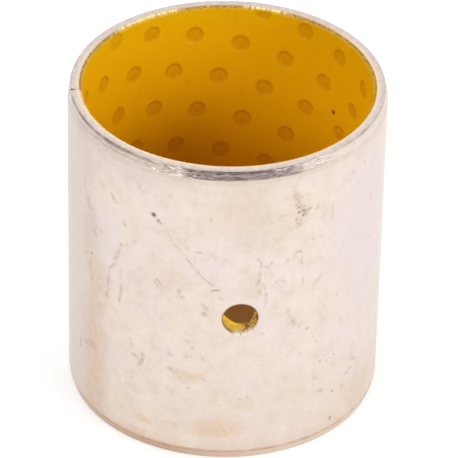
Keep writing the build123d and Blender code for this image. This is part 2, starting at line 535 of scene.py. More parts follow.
def steel_relief(arcs, radii, heights):
    """Rounded seam edges, the hole's drawn-in edge and the scuffed leads."""
    radii, heights = radii.copy(), heights.copy()
    outer = radii > OUTSIDE_RADIUS - LEAD_DEPTH - 0.01
    from_seam = pi * OUTSIDE_RADIUS - np.abs(arcs)
    radii -= outer * SEAM_ROUNDING * (1 - ease(from_seam, 0, SEAM_EDGE_BREAK * 1.2)) ** 2

    across = OUTSIDE_RADIUS * np.sin(arcs / OUTSIDE_RADIUS - HOLE_AZIMUTH)
    up = heights - HOLE_HEIGHT
    from_hole = np.hypot(across, up) - HOLE_RADIUS
    near_hole = outer & (np.abs(arcs / OUTSIDE_RADIUS - HOLE_AZIMUTH) < 0.5) & (from_hole < 2)
    radii -= near_hole * HOLE_SINK * (1 - ease(from_hole, 0.0, HOLE_SINK_REACH)) ** 2
    below = np.clip(-up / HOLE_RADIUS, 0, 1)
    lip = np.exp(-((from_hole - HOLE_SINK_REACH) / 0.16) ** 2)
    uneven = 0.6 + 0.4 * ripple(across, up, 0.5, 0.5, 21)
    radii += near_hole * HOLE_LIP * lip * below * uneven

    around = arcs - HOLE_AZIMUTH * OUTSIDE_RADIUS
    for (pit_across, pit_height), reach, sunk, _ in PITS:
        apart = np.hypot(around - pit_across, heights - pit_height)
        radii -= outer * sunk * (1 - ease(apart, 0.2 * reach, reach))
    radii -= outer * SCRATCH_DEPTH * (1 - ease(beside_scratch(around, heights), 0, SCRATCH_WIDTH))

    # the leads were pressed over a cone, which left fine ridges round them
    depth = OUTSIDE_RADIUS - radii
    on_lead = outer & (from_end(heights) < LEAD_LENGTH + 0.3) & (from_end(heights) > 0.02)
    ridges = ripple(arcs, heights, 5.0, 0.16, 7) + 0.6 * ripple(arcs, heights, 1.6, 0.10, 8)
    scuffed = scuff(arcs) * (heights > LENGTH / 2)
    radii += on_lead * (RIDGES + SCUFFED_RIDGES * scuffed) * ridges
    edge = outer & (from_end(heights) < 0.30) & (depth > 0.2)
    radii += edge * (WAVES + SCUFFED_WAVES * scuffed) * ripple(arcs, heights, 0.9, 0.4, 9)

    bond = lies_on(radii, STEEL_RADIUS)
    radii += bond * bond_line(arcs, OUTSIDE_RADIUS, STEEL_BOND_DEPTH)
    return radii, heights


def scuff(arcs):
    """How scuffed the leads are, from 0 to 1: most on the oil hole's side."""
    away = np.abs(arcs - HOLE_AZIMUTH * OUTSIDE_RADIUS + 1.5)
    return 1 - ease(away, 9, 20)


def bronze_relief(arcs, radii, heights):
    """Grainy exposed edges, and bond lines shared with the layers either side."""
    radii, heights = radii.copy(), heights.copy()
    bond = lies_on(radii, STEEL_RADIUS)
    inner = lies_on(radii, BRONZE_RADIUS)
    exposed = (from_end(heights) < 0.2) & ~bond & ~inner
    radii += bond * bond_line(arcs, STEEL_RADIUS, STEEL_BOND_DEPTH)
    radii += (inner & (from_end(heights) < 1.0)) * bond_line(arcs, STEEL_RADIUS, LINING_BOND_DEPTH)
    grains = ripple(arcs, radii * 8, 0.28, 1.4, 12)
    low = heights < LENGTH / 2
    heights += exposed * np.where(low, 1, -1) * (0.012 + 0.020 * grains)
    return radii, np.clip(heights, 0, LENGTH)


def dimple_places():
    """Azimuth and height of every dimple whose centre lies on the strip."""
    places = []
    strip = 2 * pi * BORE_RADIUS
    reach = round((strip + LENGTH) / np.linalg.norm(COLUMN_STEP))
    for along_row in range(-reach, reach + 1):
        for along_column in range(-reach, reach + 1):
            place = FIRST_DIMPLE + along_row * ROW_STEP + along_column * COLUMN_STEP
            if 0 < place[0] < strip and 0 < place[1] < LENGTH:
                places.append((place[0] / BORE_RADIUS - pi, place[1]))
    return places


def lining_relief(arcs, radii, heights):
    """The dimples, sunk into the bore and across its mouth chamfers."""
    radii, heights = radii.copy(), heights.copy()
    bonded = radii > BRONZE_RADIUS - 1e-6
    sunk = np.zeros(len(arcs))
    for azimuth, height in dimple_places():
        apart = np.hypot(arcs - azimuth * BORE_RADIUS, heights - height)
        close = apart < DIMPLE_RADIUS + 0.6
        flank = 1 - ease(apart[close], DIMPLE_FLOOR_RADIUS, DIMPLE_RADIUS)
        dome = DIMPLE_DOME * (1 - ease(apart[close], 0, DIMPLE_FLOOR_RADIUS))
        sunk[close] += (DIMPLE_DEPTH - dome) * flank
    radii = np.where(bonded, radii, np.maximum(radii + np.minimum(sunk, 0), BORE_RADIUS + sunk))
    radii = np.minimum(radii, BRONZE_RADIUS)
    azimuths = arcs / BORE_RADIUS
    on_bond = bonded & (from_end(heights) < 1.0)
    radii += on_bond * bond_line(azimuths * STEEL_RADIUS, STEEL_RADIUS, LINING_BOND_DEPTH)
    return radii, heights


def rim_or(fine, coarse, hidden, hidden_radius):
    """Column steps: fine near the ends, coarse on the faces, wide on the bonded face."""
    def step(radius, height):
        if from_end(height) < LEAD_LENGTH + 0.6:
            return fine
        return hidden if lies_on(radius, hidden_radius) else coarse
    return step


def guard_hole(layer, face_radius, apart):
    """A second ring round the hole's edge on a face, and no grid points close by."""
    layer.add_ring(*HOLE_PLACE, HOLE_RADIUS + apart, face_radius, HOLE_SIDES, pi / HOLE_SIDES)
    layer.clear(*HOLE_PLACE, HOLE_RADIUS + 2 * apart, face_radius)


def make_steel(material):
    flat_radius = OUTSIDE_RADIUS - LEAD_DEPTH
    base_middle = (STEEL_RADIUS + flat_radius) / 2
    corners = [
        (base_middle, 0, 0, 0.35),
        (flat_radius, 0, 0.09, 0.14),
        (OUTSIDE_RADIUS, LEAD_LENGTH, 0.45, 1.0),
        (OUTSIDE_RADIUS, LENGTH - LEAD_LENGTH, 0.45, 0.10),
        (flat_radius, LENGTH, 0.09, 0.35),
        (STEEL_RADIUS, LENGTH, 0, 2.0),
        (STEEL_RADIUS, 0, 0, 0.35),
    ]
    layer = Layer(corners, OUTSIDE_RADIUS, rim_or(0.24, 0.7, 2.0, STEEL_RADIUS), steel_relief)
    outer = layer.add_ring(*HOLE_PLACE, HOLE_RADIUS + HOLE_EDGE, OUTSIDE_RADIUS, HOLE_SIDES)
    for i, reach in enumerate((0.22, 0.33, 0.46, 0.62, 0.85, 1.2)):
        turn = pi / HOLE_SIDES * (i % 2)
        layer.add_ring(*HOLE_PLACE, HOLE_RADIUS + reach, OUTSIDE_RADIUS, HOLE_SIDES, turn)
    layer.clear(*HOLE_PLACE, HOLE_RADIUS + 1.4, OUTSIDE_RADIUS)
    inner = layer.add_ring(*HOLE_PLACE, HOLE_RADIUS, STEEL_RADIUS, HOLE_SIDES)
    guard_hole(layer, STEEL_RADIUS, 0.4)
    pit_sides = 14
    for (across, height), reach, _, _ in PITS:
        azimuth = HOLE_AZIMUTH + across / OUTSIDE_RADIUS
        for share in (0.02, 0.4, 0.7, 1.0, 1.3):
            layer.add_ring(azimuth, height, reach * share, OUTSIDE_RADIUS, pit_sides, share)
        layer.clear(azimuth, height, reach * 1.3 + 0.2, OUTSIDE_RADIUS)
    layer.add_scratches()
    wall = [(HOLE_RADIUS + share * HOLE_EDGE, OUTSIDE_RADIUS - depth) for share, depth in (
        (0.65, 0.14), (0.35, 0.19), (0.12, 0.28), (0, 0.45), (0, 0.75), (0, 1.05), (0, 1.35), (0, 1.65)
    )]
    vertices, faces = layer.mesh(outer, inner, wall)
    return new_piece("steel_shell", vertices, faces, material, "steel_backing")


def make_bronze(material):
    chamfer_end = BORE_RADIUS + MOUTH_CHAMFER
    chamfer_step = chamfer_end - BRONZE_RADIUS
    base_middle = (STEEL_RADIUS + chamfer_end) / 2
    corners = [
        (base_middle, 0, 0, 0.06),
        (STEEL_RADIUS, 0, 0, 2.0),
        (STEEL_RADIUS, LENGTH, 0, 0.05),
        (chamfer_end, LENGTH, 0, 0.04),
        (BRONZE_RADIUS, LENGTH - chamfer_step, 0, 2.0),
        (BRONZE_RADIUS, chamfer_step, 0, 0.04),
        (chamfer_end, 0, 0, 0.06),
    ]

    def columns(radius, height):
        return 0.16 if from_end(height) < 0.3 else 2.0

    layer = Layer(corners, STEEL_RADIUS, columns, bronze_relief)
    outer = layer.add_ring(*HOLE_PLACE, HOLE_RADIUS, STEEL_RADIUS, HOLE_SIDES)
    inner = layer.add_ring(*HOLE_PLACE, HOLE_RADIUS, BRONZE_RADIUS, HOLE_SIDES)
    for face_radius in (STEEL_RADIUS, BRONZE_RADIUS):
        guard_hole(layer, face_radius, 0.4)
    wall = [(HOLE_RADIUS, radius) for radius in np.linspace(STEEL_RADIUS, BRONZE_RADIUS, 5)[1:-1]]
    vertices, faces = layer.mesh(outer, inner, wall)
    return new_piece("bronze_layer", vertices, faces, material, "bronze_interlayer")


def lining_burr():
    """How far the punch drew the lining into the hole, round its edge: most at the lower left."""
    burr = np.zeros(HOLE_SIDES)
    for middle, spread, reach in ((232, 48, 0.62), (12, 42, 0.48)):
        away = (HOLE_ANGLES - radians(middle) + pi) % (2 * pi) - pi
        burr += reach * np.exp(-(away / radians(spread)) ** 2)
    return burr


def make_lining(material):
    chamfer = BRONZE_RADIUS - BORE_RADIUS
    bonded_end = MOUTH_CHAMFER - chamfer
    corners = [
        (BRONZE_RADIUS, LENGTH / 6, 0, 2.0),
        (BRONZE_RADIUS, LENGTH - bonded_end, 0, 0.06),
        (BORE_RADIUS, LENGTH - MOUTH_CHAMFER, 0.05, 1.0),
        (BORE_RADIUS, MOUTH_CHAMFER, 0.05, 0.06),
        (BRONZE_RADIUS, bonded_end, 0, 2.0),
    ]

    def columns(radius, height):
        if from_end(height) < 0.6:
            return 0.2
        return 2.0 if lies_on(radius, BRONZE_RADIUS) else 0.9

    layer = Layer(corners, BORE_RADIUS, columns, lining_relief)
    layer.spared_end = MOUTH_CHAMFER + 0.02
    outer = layer.add_ring(*HOLE_PLACE, HOLE_RADIUS, BRONZE_RADIUS, HOLE_SIDES)
    burr = lining_burr()
    inner = layer.add_ring(*HOLE_PLACE, HOLE_RADIUS + 0.06 - burr, BORE_RADIUS, HOLE_SIDES)
    for face_radius in (BRONZE_RADIUS, BORE_RADIUS):
        guard_hole(layer, face_radius, 0.3)
    add_dimples(layer)
    wall = [
        (HOLE_RADIUS - 0.5 * burr, BRONZE_RADIUS - 0.02),
        (HOLE_RADIUS - 0.9 * burr, BRONZE_RADIUS - 0.08),
        (HOLE_RADIUS - burr, BRONZE_RADIUS - 0.18),
        (HOLE_RADIUS - burr, BORE_RADIUS + 0.06),
    ]
    vertices, faces = layer.mesh(outer, inner, wall)
    return new_piece("acetal_liner", vertices, faces, material, "acetal_lining")


def add_dimples(layer):
    """Rings for each dimple, apart from points that fall off the strip, past a mouth or in the hole."""
    reaches = (0.01, 0.45, 0.75, 0.95, 1.05, 1.15, 1.25, 1.35, 1.45, 1.55, 1.65, 1.8, 2.0)
    offset, direction = layer.face_line(BORE_RADIUS)
    hole_arc = HOLE_AZIMUTH * BORE_RADIUS
    for azimuth, height in dimple_places():
        for i, reach in enumerate(reaches):
            turn = pi / DIMPLE_SIDES * (i % 2)
            sides = DIMPLE_SIDES if reach > 0.5 else (12 if reach > 0.1 else 1)
            layer.add_ring(azimuth, height, reach, BORE_RADIUS, sides, turn)
            ring = layer.rings[-1]
            heights = (ring[:, 1] - offset) / direction
            from_hole = np.hypot(ring[:, 0] - hole_arc, heights - HOLE_HEIGHT)
            keep = np.abs(ring[:, 0]) < layer.end - SEAM_EDGE_BREAK * 1.5
            keep &= from_end(heights) > MOUTH_CHAMFER + 0.1
            keep &= from_hole > HOLE_RADIUS + 0.4
            layer.rings[-1] = ring[keep]
        layer.clear(azimuth, height, reaches[-1] + 0.3, BORE_RADIUS)


# ---- Materials ----

def shade(red, green, blue):
    """A screen colour, 0 to 255, as the linear colour that a shader takes."""
    def linear(level):
        level = level / 255
        return level / 12.92 if level <= 0.04045 else ((level + 0.055) / 1.055) ** 2.4
    return (linear(red), linear(green), linear(blue), 1.0)


class Tree:
    """Short names for building a node tree. A value is a socket, a number or a vector."""

    def __init__(self, tree):
        self.tree = tree

    def add(self, kind, **settings):
        node = self.tree.nodes.new(kind)
        for key, value in settings.items():
            setattr(node, key, value)
        return node

    def link(self, value, socket):
        if isinstance(value, bpy.types.NodeSocket):
            self.tree.links.new(value, socket)
        else:
            socket.default_value = value

    def made(self, kind, *values, **settings):
        """First output of a new node, if it has one. The node's first inputs take the values."""
        node = self.add(kind, **settings)
        for value, socket in zip(values, node.inputs):
            self.link(value, socket)
        return node.outputs[0] if node.outputs else None

    def math(self, operation, *values):
        return self.made("ShaderNodeMath", *values, operation=operation)

    def chain(self, operation, values):
        """The first value, joined to each of the others in turn by an operation."""
        result = values[0]
        for value in values[1:]:
            result = self.math(operation, result, value)
        return result

    def times(self, *values):
        return self.chain("MULTIPLY", values)

    def most(self, *values):
        return self.chain("MAXIMUM", values)

    def away(self, value, middle):
        """How far a number is from another, either way."""
        return self.math("ABSOLUTE", self.math("SUBTRACT", value, middle))

    def vector(self, operation, first, second=(0, 0, 0)):
        """One vector operation, whose result is a number where the operation gives one."""
        node = self.add("ShaderNodeVectorMath", operation=operation)
        self.link(first, node.inputs[0])
        self.link(second, node.inputs[1])
        return node.outputs["Value" if operation in ("LENGTH", "DISTANCE", "DOT_PRODUCT") else "Vector"]

    def scaled(self, vector, x, y, z):
        return self.vector("MULTIPLY", vector, (x, y, z))

    def joined(self, x, y, z=0.0):
        return self.made("ShaderNodeCombineXYZ", x, y, z)

    def split(self, vector):
        node = self.add("ShaderNodeSeparateXYZ")
        self.link(vector, node.inputs[0])
        return node.outputs

    def remap(self, value, low, high, to_low=0.0, to_high=1.0, kind="LINEAR"):
        """Remaps low..high to to_low..to_high, clamped."""
        values = (value, low, high, to_low, to_high)
        return self.made("ShaderNodeMapRange", *values, interpolation_type=kind)

    def ramp(self, value, low, high, to_low=0.0, to_high=1.0):
        """The same, with a smooth start and end."""
        return self.remap(value, low, high, to_low, to_high, "SMOOTHSTEP")

    def seen_directly(self):
        """1 on rays that see a surface, straight or by gloss or glass, and 0 on rays that light others."""
        path = self.add("ShaderNodeLightPath")
        kinds = ("Is Camera Ray", "Is Glossy Ray", "Is Transmission Ray")
        return self.most(*(path.outputs[kind] for kind in kinds))


class Nodes(Tree):
    """One material's nodes, with the places on the bush that its patterns use."""

    def __init__(self, name):
        self.material = bpy.data.materials.new(name)
        self.material.use_nodes = True
        super().__init__(self.material.node_tree)
        self.tree.nodes.clear()
        self.surface = self.add("ShaderNodeBsdfPrincipled")
        output = self.add("ShaderNodeOutputMaterial")
        self.link(self.surface.outputs["BSDF"], output.inputs["Surface"])
        coordinates = self.add("ShaderNodeTexCoord")
        self.place = self.scaled(coordinates.outputs["Object"], 1 / MM, 1 / MM, 1 / MM)
        self.x, self.y, self.height = self.split(self.place)
        self.radius = self.vector("LENGTH", self.scaled(self.place, 1, 1, 0))
        azimuth = self.math("ARCTAN2", self.y, self.x)
        self.across = self.times(self.math("SUBTRACT", azimuth, HOLE_AZIMUTH), OUTSIDE_RADIUS)
        self.strip = self.joined(self.across, self.height)
        self.downwards = self.math("SUBTRACT", LENGTH, self.height)
        self.from_end = self.math("MINIMUM", self.height, self.downwards)

    def texture(self, at, size, detail=2.0, roughness=0.5):
        node = self.add("ShaderNodeTexNoise")
        self.link(at, node.inputs["Vector"])
        node.inputs["Scale"].default_value = 1 / size
        node.inputs["Detail"].default_value = detail
        node.inputs["Roughness"].default_value = roughness
        return node

    def noise(self, at, size, detail, roughness):
        """Noise from 0 to 1 with features of about the given size, in millimetres."""
        return self.texture(at, size, detail, roughness).outputs[0]

    def wander(self, at, size, amount):
        """The same place, shifted a little by noise, so that marks aren't ruled or round."""
        shift = self.vector("SUBTRACT", self.texture(at, size).outputs["Color"], (0.5, 0.5, 0.5))
        return self.vector("ADD", at, self.scaled(shift, 2 * amount, 2 * amount, 0))

    def darkest(self, at, marks):
        """Darkness of the darkest of several soft marks: (start, end, half width, darkness)."""
        darkness = 0.0
        for start, end, reach, most in marks:
            apart = self.from_point(at, start) if start == end else self.from_line(at, start, end)
            darkness = self.most(darkness, self.ramp(apart, reach, 0.1 * reach, 0, most))
        return darkness

    def flecks(self, cell, length, width, share):
        """Short strokes scattered over the strip, at most one to a cell, each turned its own way."""
        at = self.wander(self.strip, 2 * length, 0.4 * length)
        cells = self.add("ShaderNodeTexVoronoi", voronoi_dimensions="2D")
        self.link(at, cells.inputs["Vector"])
        cells.inputs["Scale"].default_value = 1 / cell
        chance = self.add("ShaderNodeSeparateColor")
        self.link(cells.outputs["Color"], chance.inputs[0])
        turned = self.add("ShaderNodeVectorRotate", rotation_type="Z_AXIS")
        self.link(self.vector("SUBTRACT", at, cells.outputs["Position"]), turned.inputs["Vector"])
        self.link(self.times(chance.outputs[0], pi), turned.inputs["Angle"])
        apart = self.vector("LENGTH", self.scaled(turned.outputs[0], 1 / length, 1 / width, 0))
        return self.times(self.ramp(apart, 1, 0.1), self.ramp(chance.outputs[1], 1 - share, 1))

    def from_line(self, at, start, end):
        """Distance of a place of the strip from a straight line between two others."""
        length = float(np.linalg.norm(np.subtract(end, start)))
        offset = self.vector("SUBTRACT", at, (*start, 0))
        along = (*np.subtract(end, start) / length, 0)
        reach = self.vector("DOT_PRODUCT", offset, along)
        reach = self.math("MINIMUM", self.most(reach, 0.0), length)
        foot = self.add("ShaderNodeVectorMath", operation="SCALE")
        foot.inputs[0].default_value = along
        self.link(reach, foot.inputs["Scale"])
        return self.vector("DISTANCE", offset, foot.outputs["Vector"])

    def from_point(self, at, point, stretch=(1, 1)):
        """Distance from a point of the strip, with each direction divided by its stretch."""
        offset = self.vector("SUBTRACT", at, (*point, 0))
        return self.vector("LENGTH", self.scaled(offset, 1 / stretch[0], 1 / stretch[1], 0))

    def mix(self, share, first, second):
        node = self.add("ShaderNodeMix", data_type="RGBA")
        self.link(share, node.inputs["Factor"])
        self.link(first, node.inputs[6])
        self.link(second, node.inputs[7])
        return node.outputs[2]

    def bump(self, height, depth, normal=None):
        """Bump by a height from 0 to 1 that stands for a depth in millimetres."""
        node = self.add("ShaderNodeBump")
        node.inputs["Distance"].default_value = depth * MM
        self.link(height, node.inputs["Height"])
        if normal is not None:
            self.link(normal, node.inputs["Normal"])
        return node.outputs[0]

    def set(self, **values):
        for name, value in values.items():
            self.link(value, self.surface.inputs[name.replace("_", " ")])


def tin_plate(n):
    """Colour of the plain tin: grey cream mottled with lilac and tan, and tan low down."""
    clouds = n.noise(n.place, 10, 5, 0.6)
    patches = n.noise(n.wander(n.place, 4, 1.0), 3.4, 5, 0.68)
    grain = n.noise(n.place, 0.8, 5, 0.75)
    rolled = n.noise(n.scaled(n.strip, 1, 0.10, 1), 1.1, 3, 0.6)
    cream = shade(230, 216, 203)
    lilac = shade(229, 216, 210)
    tan = shade(215, 197, 180)
    dull = shade(195, 180, 168)
    colour = n.mix(n.ramp(clouds, 0.40, 0.62), cream, lilac)
    low = n.ramp(n.height, 26, 2, 0.0, 0.34)
    colour = n.mix(n.times(low, n.ramp(clouds, 0.25, 0.6, 0.4, 1.0)), colour, tan)
    colour = n.mix(n.ramp(patches, 0.46, 0.70, 0, 0.46), colour, tan)
    colour = n.mix(n.ramp(patches, 0.46, 0.30, 0, 0.50), colour, shade(236, 225, 217))
    colour = n.mix(n.ramp(rolled, 0.52, 0.80, 0, 0.10), colour, dull)
    colour = n.mix(n.ramp(grain, 0.50, 0.76, 0, 0.26), colour, dull)
    return colour, clouds, grain, rolled


def stains_and_side_shade(n, colour):
    """Broad soft marks on the outside: peach, orange, tan, lilac and ash staining, and dull bands, and
    painted shade that darkens the left side.
    """
    at = n.wander(n.wander(n.strip, 5.0, 1.6), 1.4, 0.35)
    uneven = n.ramp(n.noise(n.place, 1.3, 5, 0.75), 0.32, 0.64, 0.40, 1.0)
    for place, half_sizes, share, tint in STAINS:
        stain = n.ramp(n.from_point(at, place, half_sizes), 1.25, 0.45, 0, share)
        colour = n.mix(n.times(stain, uneven), colour, shade(*tint))
    # painted shade: the left side darker, where it turns from the light
    left = n.ramp(n.across, -21, -36, 0, 0.62)
    colour = n.mix(left, colour, shade(210, 197, 192))
    colour = n.mix(n.times(n.darkest(at, BANDS), uneven), colour, shade(206, 178, 154))
    foot = n.ramp(n.height, 4.2, 1.8, 0, 0.30)
    return n.mix(n.times(foot, uneven), colour, shade(212, 182, 152))


def marks(n, colour):
    """Soft smudges broken into beads, scattered flecks, scratches and pits."""
    at = n.wander(n.wander(n.strip, 2.2, 0.45), 0.7, 0.16)
    broken = n.ramp(n.noise(n.place, 0.9, 3, 0.6), 0.38, 0.62, 0.15, 1.0)
    colour = n.mix(n.times(n.darkest(at, SMUDGES), broken), colour, shade(173, 152, 131))
    crowded = n.ramp(n.noise(n.place, 6, 2, 0.5), 0.40, 0.60, 0.15, 1.0)
    flecks = n.most(n.flecks(3.4, 0.85, 0.40, 0.5), n.flecks(1.7, 0.42, 0.24, 0.4))
    colour = n.mix(n.times(flecks, crowded, 0.30), colour, shade(164, 146, 126))
    swarm = n.ramp(n.from_point(at, SWARM_PLACE, SWARM_HALF_SIZES), 1.15, 0.35)
    colour = n.mix(n.times(swarm, n.flecks(1.1, 0.62, 0.26, 1.2), 0.7), colour, shade(140, 106, 66))
    fading = n.ramp(n.noise(n.place, 2.0, 2, 0.6), 0.38, 0.58, 0.12, 1.0)
    reach = 3.2 * SCRATCH_WIDTH
    lines = [(start, end, reach, darkness) for start, end, darkness in scratch_lines()]
    colour = n.mix(n.times(n.darkest(at, lines), fading), colour, shade(148, 126, 106))
    pits = [(place, place, 1.8 * reach, darkness) for place, reach, _, darkness in PITS]
    return n.mix(n.darkest(n.wander(n.strip, 0.8, 0.14), pits), colour, shade(92, 76, 56))


def painted_glints(n):
    """Painted highlight: 1 where the bronze edge is painted bright, in dashes: on three stretches, and
    faintly all round.
    """
    # painted highlight along the bronze edge
    painted_shine = 0.0
    for middle, half_length in PAINTED_GLINTS:
        apart = n.away(n.across, middle)
        painted_shine = n.most(painted_shine, n.ramp(apart, half_length + 1.5, half_length - 1.5))
    dashes = n.noise(n.scaled(n.strip, 1, 0, 0), 0.8, 4, 0.7)
    painted_shine = n.times(painted_shine, n.ramp(dashes, 0.42, 0.54, 0.1, 1.0))
    return n.most(painted_shine, n.ramp(dashes, 0.54, 0.72, 0, 0.45))


def end_face(n, colour):
    """The cut end: mottled tin outside. Inwards it turns peach, with painted light on the near side and
    painted shade behind, and a painted highlight in dashes on its inner fringe.
    """
    mottled = n.ramp(n.noise(n.place, 0.9, 4, 0.7), 0.34, 0.66)
    flat = n.mix(mottled, shade(226, 213, 206), shade(206, 192, 184))
    from_back = n.math("SUBTRACT", n.math("ABSOLUTE", n.across), pi * OUTSIDE_RADIUS)
    # painted light and shade: the inner part is brighter on the near side and duller behind
    behind = n.ramp(n.math("ABSOLUTE", from_back), 34, 18)
    inwards = n.ramp(n.radius, STEEL_RADIUS + 1.0, STEEL_RADIUS + 0.2, 0, 0.75)
    flat = n.mix(inwards, flat, n.mix(behind, shade(240, 220, 194), shade(218, 198, 178)))
    fringe = n.ramp(n.radius, STEEL_RADIUS + 0.30, STEEL_RADIUS + 0.12, 0, 0.80)
    fringe_colour = n.mix(behind, shade(242, 210, 166), shade(204, 172, 140))
    # painted highlight in dashes on the inner fringe
    flat = n.mix(fringe, flat, n.mix(painted_glints(n), fringe_colour, shade(255, 238, 192)))
    on_end = n.times(n.ramp(n.from_end, 0.06, 0.03), n.ramp(n.radius, STEEL_RADIUS - 0.1, STEEL_RADIUS))
    return n.mix(n.times(on_end, 0.94), colour, flat)


def lead_painted_shade(n, colour, lower, blotches):
    """Painted shade: grey and tan tints that fade away from the leads, left and right of the oil hole."""
    fading = n.most(n.ramp(n.downwards, 2.1, 1.0, 0, 0.70), n.ramp(n.downwards, 6, 1.6, 0, 0.24))
    fading = n.times(fading, n.ramp(n.from_end, 0.01, 0.05))
    # painted shade on the left, where the leads turn from the light
    left = n.times(n.ramp(n.across, -6, -12), n.ramp(n.across, -41, -27, 0.05, 1.0))
    left = n.times(left, fading, n.ramp(blotches, 0.36, 0.58, 0.45, 1.0))
    colour = n.mix(left, colour, shade(186, 168, 156))
    # painted shade that tones down the lamp-lit upper lead at the right
    right = n.times(fading, n.ramp(n.across, 5, 10), n.ramp(n.across, 20, 12, 0.14, 1.0))
    colour = n.mix(right, colour, shade(204, 190, 180))
    # painted shade, in tan, on the lower lead
    tan = n.times(lower, n.ramp(n.across, 8, -16, 0.16, 0.75))
    return n.mix(tan, colour, shade(190, 160, 134))


def burnish_and_reflections(n, colour, upper, blotches, streaks):
    """The upper lead, rubbed dark in streaks near the oil hole, partly wear and partly a painted dark
    reflection, with painted highlights as bright flecks at the left of that.
    """
    from_core = n.away(n.across, 0.5)
    front = n.ramp(from_core, 20, 10)
    core = n.ramp(from_core, 12, 8)
    base = n.mix(n.ramp(blotches, 0.42, 0.58), shade(128, 112, 112), shade(170, 154, 147))
    # wear and painted dark reflection where the lead faces the front
    colour = n.mix(n.times(upper, core, 0.88), colour, base)
    streaked = n.times(upper, front, n.ramp(streaks, 0.44, 0.64, 0, 0.82))
    colour = n.mix(streaked, colour, shade(86, 71, 70))
    # painted highlights: bright flecks along the lead
    flecks = n.ramp(n.noise(n.scaled(n.strip, 0.22, 1.3, 1), 0.32, 2, 0.6), 0.54, 0.60)
    at_end = n.times(n.ramp(from_core, 20, 15), n.ramp(from_core, 5, 10, 0.15, 1.0))
    at_end = n.times(at_end, n.ramp(n.across, 4, -4))
    in_rows = n.ramp(n.away(n.downwards, 0.80), 0.15, 0.40, 0.3, 1.0)
    return n.mix(n.times(upper, flecks, at_end, in_rows), colour, shade(255, 251, 240))


def lead_edge_shade(n, colour):
    """Painted shade: dark lines along the edges of the leads, each on its own stretch of the rim."""
    ends = n.noise(n.scaled(n.strip, 1, 0, 0), 3.5, 2, 0.5)
    at_left = n.times(n.ramp(n.across, -44, -38), n.ramp(n.across, -15, -20))
    at_right = n.times(n.ramp(n.across, 19, 22), n.ramp(n.across, 29, 26, 0, 0.65))
    at_core = n.ramp(n.away(n.across, -2.5), 9, 6, 0, 0.8)
    near_left = n.times(n.ramp(n.across, -29, -25), n.ramp(n.across, -11, -15))
    all_round = n.most(at_left, at_right, 0.28)
    section = n.joined(n.radius, n.height)
    lines = [  # depth below the outside, height, reach, strength, colour, where
        (LEAD_DEPTH, LENGTH - 0.02, 0.40, 0.86, (128, 110, 98), all_round),
        (0.38, LENGTH - 0.28, 0.34, 0.60, (128, 110, 98), near_left),
        (0.36, LENGTH - 0.34, 0.30, 0.90, (84, 70, 68), at_core),
        (0.12, LENGTH - 1.25, 0.26, 0.60, (92, 78, 76), at_core),
        (0.30, LENGTH - 1.10, 0.30, 0.50, (150, 132, 120), at_left),
        (0, LENGTH - LEAD_LENGTH - 0.35, 0.90, 0.20, (176, 158, 144), 1.0),
        (0, LEAD_LENGTH, 0.50, 0.50, (170, 134, 104), 1.0),
    ]
    # each line darkens the colour as painted shade along a lead's edge
    for depth, height, reach, strength, tint, where in lines:
        apart = n.vector("DISTANCE", section, (OUTSIDE_RADIUS - depth, height, 0))
        uneven = n.ramp(ends, 0.35, 0.60, 0.4 * strength, strength)
        line = n.times(n.ramp(apart, reach, 0.2 * reach), uneven, where)
        colour = n.mix(line, colour, shade(*tint))
    return colour


def lead_wear_and_shade(n, colour):
    """Both leads, with wear, painted shade, a painted dark reflection and painted highlights. Also where
    they are, and the upper one's streaks.
    """
    past_edge = n.ramp(n.from_end, 0.01, 0.05)
    on_lead = n.times(n.ramp(n.from_end, LEAD_LENGTH + 0.22, LEAD_LENGTH - 0.12), past_edge)
    upper = n.times(on_lead, n.ramp(n.height, 0.4 * LENGTH, 0.6 * LENGTH))
    lower = n.times(on_lead, n.ramp(n.height, 0.6 * LENGTH, 0.4 * LENGTH))
    along = n.wander(n.strip, 3.0, 0.18)
    streaks = n.noise(n.scaled(along, 0.15, 1.8, 1), 0.36, 4, 0.72)
    blotches = n.noise(n.scaled(along, 0.4, 1.2, 1), 0.7, 3, 0.6)
    # painted shade on the leads, then wear with painted reflection and highlights, then painted shade lines
    colour = lead_painted_shade(n, colour, lower, blotches)
    colour = burnish_and_reflections(n, colour, upper, blotches, streaks)
    return lead_edge_shade(n, colour), on_lead, n.times(streaks, upper)


def outside_hole(n):
    """Distance of a place from the wall of the oil hole, and 1 on the side of the bush that has it."""
    from_middle = n.vector("LENGTH", n.joined(n.x, n.math("SUBTRACT", n.height, HOLE_HEIGHT)))
    return n.math("SUBTRACT", from_middle, HOLE_RADIUS), n.ramp(n.math("ABSOLUTE", n.across), 6, 5)


def hole_gold(n):
    """Gold in the oil hole: smooth yellow at the left, and coarse pale and olive grains at the right."""
    grains = n.noise(n.place, 0.46, 3, 0.65)
    to_right = n.ramp(n.across, -0.3, 1.4)
    smooth = n.mix(n.ramp(grains, 0.44, 0.66, 0, 0.55), shade(252, 216, 84), shade(214, 168, 44))
    coarse = n.mix(n.ramp(grains, 0.42, 0.58), shade(250, 214, 130), shade(130, 98, 30))
    return n.mix(to_right, smooth, coarse)


